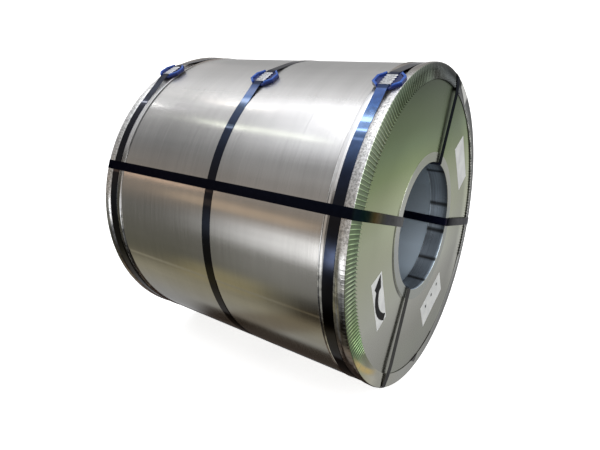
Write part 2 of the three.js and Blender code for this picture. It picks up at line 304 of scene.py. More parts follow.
def makeDiscSteel():
    finish, tree, shader = newFinish("discSteel", Metallic=1.0)
    _, angle, radius = coilPlace(tree)
    place = objectPlace(tree)
    parts = addNode(tree, "SeparateXYZ", {"Vector": place}).outputs
    # painted reflection: from grey low down through pale olive to dark green at the top, and
    # lighter on the near side
    tone = ramp(tree, spread(tree, parts["Z"], 0.0, 1.25), [
        (0.0, 160, 160, 153), (0.1, 168, 170, 158), (0.18, 174, 174, 164), (0.27, 191, 191, 182),
        (0.34, 205, 207, 194), (0.42, 202, 205, 186), (0.5, 198, 202, 176), (0.58, 195, 202, 172),
        (0.66, 176, 186, 146), (0.722, 147, 164, 116), (0.78, 126, 145, 105), (0.82, 111, 129, 90),
        (0.87, 98, 114, 79), (0.915, 79, 95, 64), (0.945, 65, 78, 53), (1.0, 56, 68, 46)])
    tone = times(tree, tone, spread(tree, parts["Y"], -0.45, 0.35, 1.22, 1.0))
    cloud = noise(tree, place, 2.2, 3.0)
    tone = times(tree, tone, ramp(tree, cloud, [(0.3, 0.88), (0.7, 1.08)]), 0.6)
    # painted shade in the gap under the far side of the flange
    under = ramp(tree, angle, [(0.0, 1.0), (0.06, 1.0), (0.1, 0.3), (0.17, 0.3), (0.18, 0.0),
                               (0.9, 0.0), (0.91, 1.0)])
    under = times(tree, under, spread(tree, radius, 0.5612, 0.5625))
    tone = blendColours(tree, under, tone, colour(56, 58, 53))
    # painted light: brighter towards the bore, and beside the flange on the far side
    gain = ramp(tree, angle, [(0.0, 1.14), (0.08, 1.0), (0.25, 1.1), (0.33, 1.26), (0.42, 1.26),
                              (0.5, 1.1), (0.6, 1.06), (0.8, 1.14), (0.92, 1.24), (1.0, 1.14)])
    tone = times(tree, tone, gain, spread(tree, radius, 0.45, 0.32))
    beside = ramp(tree, angle, [(0.0, 1.0), (0.12, 0.7), (0.15, 0.0), (0.85, 0.0), (0.9, 1.0)])
    beside = times(tree, beside, spread(tree, radius, 0.47, 0.53))
    tone = times(tree, tone, (1.5, 1.5, 1.5), beside)
    # a painted shadow line where the bore guard's edge stands off the disc
    rim = ramp(tree, spread(tree, radius, 0.29, 0.31), [
        (0.1, 1.0), (0.35, 0.14), (0.5, 0.14), (0.8, 1.0)])
    rimSide = within(tree, angle, 0.4, 0.46, 0.6, 0.65)
    tone = times(tree, tone, rim, rimSide)
    rough = spread(tree, noise(tree, place, 6.0, 4.0), 0.3, 0.7, 0.17, 0.23)
    softer = ramp(tree, angle, [(0.13, 0.0), (0.165, 0.14), (0.18, 0.14), (0.22, 0.0)])
    drive(tree, shader, Base_Color=tone, Roughness=math(tree, "ADD", rough, softer))
    addBump(tree, shader, noise(tree, place, 3.0, 1.0), 0.25, 0.004)
    return finish


def makeDiscs():
    disc = {"inner": 0.2561, "outer": 0.616, "inside": 0.5638, "outside": 0.5648, "steps": 360}
    profile = [(disc["inside"], disc["inner"]), (disc["outside"], disc["inner"]),
               (disc["outside"], disc["outer"]), (disc["inside"], disc["outer"])]
    bm = turn(profile, disc["steps"])
    finishBoth("endDisc", bm, makeDiscSteel(), "end_disc")


makeDiscs()
print("discs made")


def makeBoreSteel():
    finish, tree, shader = newFinish("boreSteel")
    x, angle, radius = coilPlace(tree)
    place = objectPlace(tree)
    # narrow dark bands at seven angles round the guard
    stops = [(0.0, 1.0)]
    for bandAngle in (3, 45, 95, 170, 277, 306, 336):
        stops += [((bandAngle - 2.9) / 360, 1.0), ((bandAngle - 1) / 360, 0.08), ((bandAngle + 1) / 360, 0.08),
                  ((bandAngle + 2.9) / 360, 1.0)]
    darkBands = ramp(tree, angle, stops + [(1.0, 1.0)])
    # painted light and shade round the inside of the guard, lightest in its lower part
    shade = ramp(tree, angle, [(0.0, 0.95), (0.25, 0.75), (0.5, 0.95), (0.62, 1.3), (0.72, 1.2),
                               (0.85, 1.0), (1.0, 0.95)])
    tube = times(tree, colour(124, 135, 146), shade)
    # painted light and shade along the tube: a painted highlight line at its inner end, dark at the
    # mouth above and a painted highlight at the mouth below
    length = spread(tree, math(tree, "ABSOLUTE", x), 0.485, 0.565)
    above = ramp(tree, length, [(0.065, 3.2), (0.08, 0.9), (0.4, 1.4), (0.7, 1.1), (0.88, 0.5),
                                (1.0, 0.4)])
    below = ramp(tree, length, [(0.06, 0.5), (0.35, 0.6), (0.65, 0.7), (0.88, 0.85), (0.95, 1.9),
                                (1.0, 4.5)])
    low = within(tree, angle, 0.62, 0.68, 0.91, 0.94)
    tube = times(tree, tube, blendColours(tree, low, above, below))
    tube = times(tree, tube, darkBands)
    lines = ramp(tree, noise(tree, place, 1.0, 2.0, (260, 4, 4)), [(0.35, 0.8), (0.65, 1.2)])
    tube = times(tree, tube, lines)
    # painted shade across the bottom of the tube
    bottom = ramp(tree, angle, [(0.6, 1.0), (0.67, 0.55), (0.77, 0.6), (0.84, 1.0)])
    tube = times(tree, tube, bottom)
    inBore = spread(tree, radius, 0.2526, 0.2534, 1.0, 0.0)
    # painted reflection on the guard's face ring, its tone changing round the coil
    ring = ramp(tree, angle, [
        (0.1, 206, 208, 198), (0.25, 186, 190, 172), (0.32, 192, 196, 182), (0.42, 228, 230, 220),
        (0.5, 208, 211, 208), (0.6, 198, 202, 195)])
    tone = blendColours(tree, inBore, ring, tube)
    rough = spread(tree, noise(tree, place, 8.0, 2.0), 0.3, 0.7, 0.22, 0.3)
    drive(tree, shader, Base_Color=tone, Roughness=rough,
          Metallic=spread(tree, inBore, 0.0, 1.0, 1.0, 0.4))
    return finish


def makeInnerProtectors():
    guard = {"tubeEnd": 0.4881, "tubeInside": 0.25241, "sheet": 0.001, "face": 0.5661,
             "faceEdge": 0.2914, "bend": 0.0025, "bendSteps": 4, "ease": 0.0003,
             "bead": [(0, 0), (0.0014, 0.0012), (0.0034, 0)], "steps": 360}
    tube = guard["tubeInside"]
    face = guard["face"]
    sheet = guard["sheet"]
    bend = guard["bend"]
    end = guard["tubeEnd"]
    edge = guard["faceEdge"]
    profile = [(end + along, tube - up) for along, up in guard["bead"]]
    for i in range(guard["bendSteps"] + 1):
        a = i * pi / 2 / guard["bendSteps"]
        profile.append((face - bend + bend * sin(a), tube + bend - bend * cos(a)))
    profile += [(face, edge - guard["ease"]), (face - guard["ease"], edge), (face - sheet, edge),
                (face - sheet, tube + bend), (face - bend, tube + sheet), (end, tube + sheet)]
    bm = turn(profile, guard["steps"])
    finishBoth("boreGuard", bm, makeBoreSteel(), "inner_edge_protector")


makeInnerProtectors()
print("bore guards made")


def makeGalvanised():
    finish, tree, shader = newFinish("galvanised", Metallic=1.0)
    x, angle, radius = coilPlace(tree)
    place = objectPlace(tree)
    size = math(tree, "ABSOLUTE", x)
    spots = ramp(tree, noise(tree, place, 150.0, 3.0, rough=0.65), [(0.44, 1.0), (0.6, 0.55)])
    # the skin over the coil's edge: light bands of painted highlight, with dull speckled ones
    # between them and a band of painted shade by the lip
    across = spread(tree, size, 0.465, 0.57)
    bands = ramp(tree, across, [
        (0.048, 0.12), (0.062, 0.12), (0.071, 0.75), (0.171, 0.75), (0.186, 1.0), (0.686, 1.0),
        (0.705, 0.85), (0.838, 0.85), (0.886, 1.0), (1.0, 1.0)])
    outer = spread(tree, size, 0.526, 0.534)
    speckled = times(tree, bands, spots, outer)
    # painted reflection round the coil on the smooth skin: bright low on the near side, nearly
    # black just below, dark brown further down
    smooth = ramp(tree, angle, [
        (0.0, (0.5, 0.5, 0.49)), (0.24, (0.5, 0.5, 0.49)), (0.26, (0.4, 0.36, 0.33)),
        (0.3, (0.42, 0.39, 0.36)), (0.42, (0.6, 0.6, 0.59)), (0.466, (0.92, 0.93, 0.95)),
        (0.5, (0.92, 0.93, 0.95)), (0.508, (0.5, 0.52, 0.56)), (0.524, (0.3, 0.31, 0.34)),
        (0.534, (0.12, 0.12, 0.13)), (0.55, (0.14, 0.13, 0.13)), (0.56, (0.36, 0.3, 0.28)),
        (0.585, (0.34, 0.28, 0.26)), (0.597, (0.2, 0.13, 0.12)), (0.63, (0.2, 0.13, 0.12)),
        (0.66, (0.4, 0.4, 0.39)), (1.0, (0.5, 0.5, 0.49))])
    # on the near side, painted shade in a dark gutter and a painted highlight along a rolled line
    # beside the lip
    rolledHighlight = within(tree, across, 0.117, 0.122, 0.17, 0.18)
    gutterShade = ramp(tree, across, [
        (0.095, 1.0), (0.102, 0.12), (0.112, 0.12), (0.118, 1.0), (0.178, 1.0), (0.19, 0.4),
        (0.25, 0.4), (0.276, 1.0)])
    nearSide = within(tree, angle, 0.41, 0.43, 0.57, 0.6)
    smooth = times(tree, smooth, gutterShade, nearSide)
    smooth = blendColours(tree, times(tree, nearSide, rolledHighlight), smooth, (0.95, 0.95, 0.95))
    blotches = ramp(tree, noise(tree, place, 45.0, 3.0), [(0.4, 0.6), (0.55, 1.1)])
    blotchy = within(tree, angle, 0.48, 0.49, 0.6, 0.63)
    smooth = times(tree, smooth, blotches, blotchy)
    upper = blendColours(tree, outer, within(tree, angle, 0.29, 0.315, 0.42, 0.435),
                         within(tree, angle, 0.29, 0.315, 0.468, 0.48))
    skin = blendColours(tree, upper, smooth, speckled)
    # painted reflection round the flange: its tone changes with the angle
    face = ramp(tree, angle, [
        (0.0, 157, 158, 154), (0.083, 128, 131, 126), (0.12, 120, 123, 120), (0.167, 66, 68, 67),
        (0.208, 62, 65, 65), (0.25, 76, 79, 76), (0.29, 124, 136, 120), (0.333, 134, 152, 126),
        (0.375, 192, 210, 178), (0.417, 171, 190, 155), (0.458, 144, 166, 130),
        (0.5, 137, 150, 126), (0.542, 122, 140, 104), (0.563, 98, 120, 86), (0.575, 112, 132, 98),
        (0.583, 152, 162, 130), (0.6, 166, 166, 140), (0.625, 212, 210, 194),
        (0.708, 205, 206, 198), (0.79, 168, 168, 164), (0.833, 146, 146, 144),
        (0.875, 164, 164, 162), (0.917, 190, 190, 188), (1.0, 157, 158, 154)])
    # painted light and shade on the pleats: lighter ridges, darker valleys
    pleat = addNode(tree, "Attribute", attribute_name="pleat").outputs["Fac"]
    pleatLight = ramp(tree, spread(tree, pleat, -1.0, 1.0), [(0.0, 0.66), (0.5, 1.0), (1.0, 2.2)])
    face = times(tree, face, pleatLight)
    # painted shade at the rim on the far side, painted light there on the near side, and painted
    # light nearer the inner edge on the far side
    rimward = spread(tree, radius, 0.58, 0.6)
    rimShade = ramp(tree, angle, [(0.0, 0.87), (0.04, 0.95), (0.17, 1.0), (0.208, 0.65), (0.24, 0.0),
                                (0.76, 0.0), (0.8, 0.35), (0.86, 0.65), (0.92, 0.8), (1.0, 0.87)])
    face = times(tree, face, (0.22, 0.22, 0.22), times(tree, rimShade, rimward))
    lit = ramp(tree, angle, [(0.0, 1.0), (0.04, 0.2), (0.08, 0.6), (0.125, 1.0), (0.15, 0.3),
                             (0.21, 0.9), (0.24, 0.0), (0.87, 0.0), (0.9, 1.0), (1.0, 1.0)])
    face = times(tree, face, (1.7, 1.7, 1.7), times(tree, lit, spread(tree, radius, 0.59, 0.575)))
    brighter = ramp(tree, angle, [(0.43, 0.0), (0.46, 0.4), (0.53, 0.8), (0.6, 1.0), (0.64, 0.0)])
    face = times(tree, face, (1.8, 1.75, 1.7), times(tree, brighter, rimward))
    # a straw-coloured patch that runs slanting over the flange
    cloud = noise(tree, place, 30.0, 3.0)
    strawPatch = within(tree, angle, 0.566, 0.582, 0.608, 0.63)
    lane = math(tree, "SUBTRACT", radius, spread(tree, angle, 0.572, 0.628, 0.62, 0.577))
    lane = within(tree, spread(tree, lane, -0.016, 0.016), 0.05, 0.35, 0.6, 0.95)
    strawPatch = times(tree, strawPatch, lane)
    strawPatch = times(tree, strawPatch, spread(tree, cloud, 0.2, 0.42, 0.3, 1.0))
    face = blendColours(tree, strawPatch, face, colour(255, 226, 148))
    # low down a corner of the flange gapes, drawn as painted shadow
    gapeShadow = ramp(tree, angle, [
        (0.718, 0.0), (0.732, 0.55), (0.7385, 1.0), (0.741, 1.0), (0.747, 0.4), (0.752, 0.0)])
    gapeShadow = math(tree, "SUBTRACT", spread(tree, gapeShadow, 0.0, 1.0, 0.564, 0.6), radius)
    face = blendColours(tree, spread(tree, gapeShadow, -0.002, 0.003), face, colour(24, 26, 22))
    # on the far side, small teeth along the flange's inner edge, drawn as painted shadow on a light
    # strip
    toothShadow = spread(tree, math(tree, "FRACT", math(tree, "MULTIPLY", angle, 480.0)), 0.42, 0.52)
    farSide = ramp(tree, angle, [(0.128, 1.0), (0.13, 0.0), (0.906, 0.0), (0.908, 1.0)])
    toothed = times(tree, farSide, spread(tree, radius, 0.5745, 0.5753, 1.0, 0.0))
    face = blendColours(tree, toothed, face, colour(204, 206, 198))
    face = blendColours(tree, times(tree, toothShadow, toothed), face, colour(12, 13, 12))
    # a bent tab high on the far side, drawn as a painted highlight with painted shadow in the gap
    # under it
    tabbed = within(tree, angle, 0.133, 0.135, 0.161, 0.163)
    foot = math(tree, "SUBTRACT", radius, spread(tree, angle, 0.134, 0.162, 0.574, 0.602))
    gap = within(tree, spread(tree, foot, -0.01, 0.01), 0.05, 0.1, 0.46, 0.5)
    tabHighlight = spread(tree, foot, 0.0, 0.001)
    face = blendColours(tree, times(tree, tabbed, gap), face, colour(20, 22, 20))
    face = blendColours(tree, times(tree, tabbed, tabHighlight), face, colour(255, 255, 250))
    tone = blendColours(tree, spread(tree, size, 0.5649, 0.5656), skin, face)
    fine = noise(tree, place, 90.0, 3.0)
    rough = math(tree, "ADD", spread(tree, fine, 0.3, 0.7, 0.1, 0.22),
                 math(tree, "MULTIPLY", upper, 0.25))
    drive(tree, shader, Base_Color=tone, Roughness=rough)
    addBump(tree, shader, noise(tree, place, 70.0, 2.0), 0.1, 0.001)
    return finish


def makeOuterProtectors():
    # "beads" go along from the lip and up, "slope" is where the skin comes down from the crest,
    # "gather" crowds a pleat's steps towards its ridge, "plain" is where the flange lies smooth,
    # "fade" how far the pleats die away before it, and past "flat" the flange no longer lifts off
    # the disc until it curls up on the far side
    guard = {"sheet": 0.001, "seat": 0.6184, "lip": 0.4701, "ease": 0.0003,
             "crest": 0.624, "crestIn": 0.5581, "crestOut": 0.5621, "cornerX": 0.5661,
             "cornerRadius": 0.621, "edge": 0.562, "corner": (0.5645, 0.6228),
             "cornerUp": 0.0005, "cornerIn": 0.0004, "flangeBehind": 0.0013,
             "beads": [(0, 0), (0.0007, 0.0016), (0.0018, 0.0022), (0.003, 0.0016),
                       (0.004, 0.0004), (0.0052, 0.0014), (0.0063, 0.0018), (0.0075, 0.001),
                       (0.009, 0)],
             "slope": [(0.552, 0.6239), (0.545, 0.6236), (0.539, 0.6227), (0.5345, 0.6207),
                       (0.5315, 0.6194)],
             "underSlope": [(0.553, 0.6212), (0.5476, 0.6184)],
             "faceRadii": [0.6202, 0.6185, 0.615, 0.606, 0.594, 0.582, 0.571, 0.5645, 0.562],
             "pleats": 264, "pleatAt": 150.46, "pleatHeight": 0.004, "pleatDip": 0.0003,
             "dipFrom": (0.5572, 0.6186), "stepsPerPleat": 8, "gather": 1.6, "gatherGain": 1.516,
             "ridge": 0.165, "wideRidge": 0.3,
             "plain": [(213, 326.5), (47, 60)], "fade": 12, "farSide": (300, 60),
             "lift": 0.0045, "lying": 0.35, "flat": 285, "curl": 0.0062, "curlStarts": (316, 328),
             "curlFades": (50, 25), "leastCurl": 0.4, "sag": 0.015, "sagAt": 268}
    sheet = guard["sheet"]
    skin = guard["seat"] + sheet
    lip = guard["lip"]
    crest = guard["crest"]
    cornerX = guard["cornerX"]
    cornerRadius = guard["cornerRadius"]
    ease = guard["ease"]
    outside = [(cornerX, radius) for radius in reversed(guard["faceRadii"])]
    outside += [(cornerX - ease, cornerRadius + guard["cornerUp"]), guard["corner"],
                (guard["crestOut"], crest), (guard["crestIn"], crest)]
    outside += guard["slope"]
    outside += [(lip + along, skin + up) for along, up in reversed(guard["beads"])]
    inside = [(lip, guard["seat"])] + guard["underSlope"][::-1]
    inside += [(guard["crestIn"] + ease, crest - sheet),
               (guard["crestOut"] - ease, crest - sheet),
               (cornerX - sheet, cornerRadius - guard["cornerIn"])]
    inside += [(cornerX - sheet, radius) for radius in guard["faceRadii"][1:]]
    pitch = 360 / guard["pleats"]
    steps = guard["pleats"] * guard["stepsPerPleat"]
    bm = turn(outside + inside, steps, guard["pleatAt"] % (360 / steps))
    pleat = bm.verts.layers.float.new("pleat")
    farStart, farEnd = guard["farSide"]
    for vert in bm.verts:
        x, radius, angle = onCoil(vert)
        count = (angle - guard["pleatAt"]) / pitch
        across = count - round(count)
        across = copysign(guard["gatherGain"] * abs(across) ** guard["gather"], across)
        angle = (guard["pleatAt"] + (round(count) + across) * pitch) % 360
        toPlain = guard["plain"][0][0] - angle
        fold = min(1.0, toPlain / guard["fade"]) if toPlain > 0 else 1.0
        if any(low <= angle <= high for low, high in guard["plain"]):
            fold = 0.0
        farSide = angle > farStart or angle < farEnd
        ridge = partWay(abs(across), guard["wideRidge" if farSide else "ridge"], 0.0)
        vert[pleat] = fold * (2 * ridge - 1)
        ridge *= fold
        inward = partWay(radius, cornerRadius, guard["edge"])
        onFlange = x > cornerX - guard["flangeBehind"] and inward > 0
        if onFlange:
            radius += guard["sag"] * inward * max(0.0, cos(radians(angle - guard["sagAt"]))) ** 3
        if onFlange and farSide:
            curling = partWay(angle, *guard["curlStarts"])
            if angle < farEnd:
                curling = max(guard["leastCurl"], partWay(angle, *guard["curlFades"]))
            x += curling * guard["curl"] * inward ** 2 * (0.3 + 0.7 * ridge)
        elif onFlange:
            lying = 0.0 if angle > guard["flat"] else guard["lying"]
            x += guard["lift"] * inward * (lying + (1 - guard["lying"]) * ridge)
            x += ridge * guard["pleatHeight"] * (0.1 + 0.9 * inward)
        if x > guard["dipFrom"][0] and radius > guard["dipFrom"][1]:
            radius -= guard["pleatDip"] * fold * (1 - ridge)
        setOnCoil(vert, x, radius, angle)
        vert.co.z = max(0.0, vert.co.z)
    finishBoth("edgeGuard", bm, makeGalvanised(), "outer_edge_protector")


makeOuterProtectors()
print("edge guards made")


def makeStrapPaint(name, coat):
    finish, tree, shader = newFinish(name, Metallic=1.0, Coat_Weight=coat,
                                     Specular_Tint=(0.4, 0.4, 0.44))
    x, angle, radius = coilPlace(tree)
    place = objectPlace(tree)
    # painted sheen: blue where it bends over the top, with a painted highlight there, nearly black
    # down the sides
    lower = [(0.5, 12, 12, 20), (0.53, 10, 9, 10), (0.56, 50, 48, 48), (0.75, 20, 20, 26),
             (1.0, 20, 22, 28)]
    frontSheen = ramp(tree, angle, [
        (0.0, 20, 22, 28), (0.25, 54, 51, 56), (0.29, 52, 50, 58), (0.31, 54, 66, 98),
        (0.325, 58, 77, 121), (0.34, 42, 68, 116), (0.348, 45, 74, 122), (0.354, 58, 86, 130),
        (0.361, 84, 104, 134), (0.37, 60, 84, 120), (0.386, 46, 66, 100), (0.397, 41, 61, 92),
        (0.405, 36, 51, 80), (0.417, 26, 36, 62), (0.431, 22, 29, 46), (0.45, 20, 21, 32),
        (0.475, 38, 50, 76)] + lower)
    # the same painted sheen, dimmer, for the back strap
    backSheen = ramp(tree, angle, [
        (0.0, 20, 22, 28), (0.25, 54, 51, 56), (0.29, 50, 50, 56), (0.325, 42, 48, 62),
        (0.35, 38, 46, 60), (0.364, 52, 56, 68), (0.375, 44, 46, 60), (0.39, 36, 38, 50),
        (0.405, 34, 35, 46), (0.45, 28, 28, 40), (0.475, 36, 42, 54)] + lower)
    onBarrel = blendColours(tree, spread(tree, x, -0.5, 0.5, 1.0, 0.0), frontSheen, backSheen)
    # painted reflection on the ends: the tone changes round the coil
    onEnds = ramp(tree, angle, [
        (0.0, 136, 136, 132), (0.1, 60, 64, 58), (0.25, 54, 58, 50), (0.6, 120, 120, 113),
        (0.72, 120, 120, 113), (0.88, 136, 136, 132), (1.0, 136, 136, 132)])
    # a painted reflection on the near one: straw, brown and green along its length
    nearReflection = ramp(tree, radius, [
        (0.262, 165, 166, 160), (0.3, 150, 150, 147), (0.34, 123, 124, 119), (0.4, 107, 108, 108),
        (0.44, 110, 110, 94), (0.46, 124, 117, 94), (0.48, 119, 106, 78), (0.5, 103, 92, 59),
        (0.52, 86, 87, 62), (0.54, 50, 60, 50), (0.57, 34, 50, 46), (0.6, 27, 39, 44)])
    # painted shade on the far one, darker towards the bore
    farOne = within(tree, angle, 0.9, 0.92, 0.98, 1.0)
    farShade = ramp(tree, radius, [(0.262, 0.1), (0.3, 0.42), (0.35, 0.75), (0.4, 0.95), (0.46, 1.1)])
    onEnds = times(tree, onEnds, farShade, farOne)
    nearOne = within(tree, angle, 0.38, 0.39, 0.49, 0.5)
    onEnds = blendColours(tree, nearOne, onEnds, nearReflection)
    # on the strap high on the far side, the side that faces the disc is a greenish grey
    normal = addNode(tree, "NewGeometry").outputs["Normal"]
    facing = addNode(tree, "SeparateXYZ", {"Vector": normal})
    turned = math(tree, "MULTIPLY", facing.outputs["X"], math(tree, "SIGN", x))
    discSide = times(tree, spread(tree, turned, -0.9, -0.5, 1.0, 0.0),
                 within(tree, angle, 0.13, 0.14, 0.2, 0.21))
    onEnds = blendColours(tree, discSide, onEnds, colour(76, 84, 68))
    onFace = spread(tree, math(tree, "ABSOLUTE", x), 0.562, 0.568)
    tone = blendColours(tree, onFace, onBarrel, onEnds)
    inBore = spread(tree, radius, 0.25, 0.252, 1.0, 0.0)
    # inside the bore a plain lighter bluish grey, painted light
    tone = blendColours(tree, inBore, tone, colour(56, 56, 84))
    wear = noise(tree, place, 60.0, 4.0)
    tone = times(tree, tone, ramp(tree, wear, [(0.3, 0.85), (0.7, 1.15)]))
    drive(tree, shader, Base_Color=tone, Roughness=spread(tree, wear, 0.3, 0.7, 0.045, 0.085))
    addBump(tree, shader, noise(tree, place, 12.0, 2.0), 0.05, 0.001)
    return finish


bellyPaint = makeStrapPaint("bellyStrapPaint", 0.5)
eyePaint = makeStrapPaint("eyeStrapPaint", 0.0)
# "leaves" and "sealed" are how high a belly strap passes its pad's edge and its seal. Each of
# "straps" is its middle along the axis, what it lies on, what its pad rests on, its pad's angle,
# and how far it wanders along the axis low on the near side.
belly = {"thickness": 0.0008, "width": 0.037, "steps": 720, "leaves": 0.0088, "sealed": 0.01,
         "gap": 0.0004, "padHalf": 0.052, "sealHalf": 0.031, "padAside": 0.0025, "padGap": 0.0003,
         "wanders": (152, 208), "returns": (340, 260),
         "straps": [("Front", 0.5115, 0.6194, 0.624, 115.0, -0.012),
                    ("Middle", 0.0022, 0.618, 0.618, 115.7, 0.0048),
                    ("Back", -0.5165, 0.6194, 0.624, 114.9, 0.0)]}


def bellyRadius(offAngle, seat, padRest):
    # the taut line over the pad, at this many degrees off its middle
    a = radians(abs((offAngle + 180) % 360 - 180))
    around = seat + belly["gap"] + belly["thickness"]
    high = padRest + belly["sealed"] + belly["thickness"]
    low = padRest + belly["leaves"] + belly["thickness"]
    reach = hypot(low, belly["padHalf"])
    leaving = atan2(belly["padHalf"], low)
    touches = leaving + acos(around / reach)
    if a > touches:
        return around
    if a > leaving:
        return around / cos(a - touches)
    if a < atan2(belly["sealHalf"], high):
        return high / cos(a)
    slope = (high - low) / (belly["padHalf"] - belly["sealHalf"])
    return (low + slope * belly["padHalf"]) / (cos(a) + slope * sin(a))


def makeBand(bm, across, thickness):
    # draws the loop of edges in bm out to one side and gives the band its thickness
    side = bmesh.ops.extrude_edge_only(bm, edges=bm.edges)["geom"]
    bmesh.ops.translate(bm, vec=across, verts=vertsOf(side))
    bmesh.ops.recalc_face_normals(bm, faces=bm.faces)
    bmesh.ops.solidify(bm, geom=bm.faces[:], thickness=thickness)


def makeBellyStraps():
    for label, x, seat, padRest, padAngle, wander in belly["straps"]:
        bm = bmesh.new()
        made = bmesh.ops.create_circle(bm, segments=belly["steps"], radius=1.0)
        bmesh.ops.rotate(bm, verts=bm.verts, cent=(0, 0, 0), matrix=Matrix.Rotation(pi / 2, 3, "Y"))
        for vert in made["verts"]:
            angle = degrees(atan2(vert.co.z, vert.co.y)) % 360
            radius = bellyRadius(angle - padAngle, seat, padRest)
            down = min(partWay(angle, *belly["wanders"]), partWay(angle, *belly["returns"]))
            off = wander * down * down * (3 - 2 * down)
            setOnCoil(vert, x + off - belly["width"] / 2, radius, angle)
        makeBand(bm, (belly["width"], 0, 0), belly["thickness"])
        finishPiece("bellyStrap" + label, bm, bellyPaint,
                    ["belly_strap_" + label.lower()])


# "half" is the outside of an eye strap's front half as (x, radius, where the bend starts),
# "straps" each one's angle and how far aside of the axis it runs, and "drift" the degrees a metre
# by which its run over the barrel leans, behind "driftFrom"
eye = {"width": 0.034, "thickness": 0.0008, "sealRadius": 0.436, "sealX": 0.5741,
       "sealSlope": 0.86, "drift": 0.4, "driftFrom": 0.35, "barrel": 0.6,
       "half": [(0.5722, 0.2487, 0.0066), (0.5768, 0.562, 0.03), (0.569, 0.6202, 0.004),
                (0.5632, 0.6252, 0.004)],
       "straps": [(158.7, 0.0), (63.3, 0.0155), (-16.7, 0.01), (-121.6, -0.02)]}


def makeEyeStraps():
    loop = eye["half"] + [(-x, radius, bend) for x, radius, bend in reversed(eye["half"])]
    for i, (angle, aside) in enumerate(eye["straps"]):
        bm = bmesh.new()
        verts = [bm.verts.new((x, radius, 0)) for x, radius, _ in loop]
        for pair in zip(verts, verts[1:] + verts[:1]):
            bm.edges.new(pair)
        for vert, (_, _, bend) in zip(verts, loop):
            bmesh.ops.bevel(bm, geom=[vert], offset=bend, offset_type="OFFSET", segments=6,
                            profile=0.5, affect="VERTICES", material=-1)
        makeBand(bm, (0, 0, eye["width"]), eye["thickness"])
        bmesh.ops.translate(bm, verts=bm.verts, vec=(0, 0, -eye["width"] / 2))
        for vert in bm.verts:
            back = min(1, max(0, eye["driftFrom"] - vert.co.x))
            drift = eye["drift"] * back if vert.co.y > eye["barrel"] else 0
            swing = Matrix.Rotation(radians(angle + drift) + asin(aside / vert.co.y), 3, "X")
            vert.co = swing @ vert.co + Vector((0, 0, axisHeight))
        finishPiece(f"eyeStrap{i + 1}", bm, eyePaint, [f"eye_strap_{i + 1}"])


makeBellyStraps()
makeEyeStraps()
print("straps made")


def makeSpeckled(name, scale, detail, stops, roughness=None, **values):
    finish, tree, shader = newFinish(name, **values)
    speckle = noise(tree, objectPlace(tree), scale, detail)
    drive(tree, shader, Base_Color=ramp(tree, speckle, stops))
    if roughness:
        drive(tree, shader, Roughness=spread(tree, speckle, 0.3, 0.7, *roughness))
    return finish


sealSteel = makeSpeckled("sealSteel", 150.0, 3.0, [(0.3, 196, 198, 204), (0.7, 236, 238, 242)],
                         (0.22, 0.4), Metallic=1.0)


def makeSeal(name, node, strapWidth, place):
    # flat on a strap that runs along Y, its underside at zero
    seal = {"length": 0.062, "margin": 0.0032, "low": -0.0012, "high": 0.0022,
            "crimps": [-0.022, -0.0075, 0.0075, 0.022], "pinch": 0.0052, "reach": 0.0048,
            "flat": 0.55, "droop": 0.0012, "dent": 0.0009}
    width = strapWidth + 2 * seal["margin"]
    bm = bmesh.new()
    bmesh.ops.create_grid(bm, x_segments=14, y_segments=40, size=0.5)
    bmesh.ops.scale(bm, verts=bm.verts, vec=(width, seal["length"], 1))
    for vert in bm.verts:
        near = partWay(min(abs(vert.co.y - c) for c in seal["crimps"]), seal["reach"], 0)
        edge = partWay(abs(vert.co.x) / (width / 2), seal["flat"], 1)
        vert.co.x *= 1 - near * edge * seal["pinch"] * 2 / width
        vert.co.z = seal["high"] - seal["droop"] * edge ** 3 - seal["dent"] * near * edge
    bmesh.ops.recalc_face_normals(bm, faces=bm.faces)
    if bm.faces[:][0].normal.z < 0:
        bmesh.ops.reverse_faces(bm, faces=bm.faces)
    bmesh.ops.solidify(bm, geom=bm.faces[:], thickness=seal["high"] - seal["low"])
    bmesh.ops.transform(bm, matrix=place, verts=bm.verts)
    finishPiece(name, bm, sealSteel, [node], bevel=0.0005)


def makePadPlastic():
    finish, tree, shader = newFinish("padPlastic")
    place = objectPlace(tree)
    cloud = noise(tree, place, 40.0, 3.0)
    tone = ramp(tree, cloud, [(0.3, 32, 76, 168), (0.7, 54, 102, 194)])
    x, _, radius = coilPlace(tree)
    # painted shade low on the pads and painted light on their tops: the middle one lies 6 mm nearer
    # to the axis than the others
    middle = within(tree, spread(tree, x, -0.4, 0.4), 0.2, 0.25, 0.75, 0.8)
    height = math(tree, "ADD", radius, math(tree, "MULTIPLY", middle, 0.006))
    depth = ramp(tree, spread(tree, height, 0.624, 0.64), [
        (0.0, (0.08, 0.07, 0.13)), (0.5, (0.14, 0.12, 0.22)), (0.7, (0.32, 0.3, 0.4)),
        (0.9, (0.62, 0.6, 0.68)), (0.98, (1.15, 1.15, 1.1))])
    drive(tree, shader, Base_Color=times(tree, tone, depth),
          Roughness=spread(tree, cloud, 0.3, 0.7, 0.18, 0.32))
    addBump(tree, shader, noise(tree, place, 300.0, 2.0), 0.1, 0.0005)
    return finish


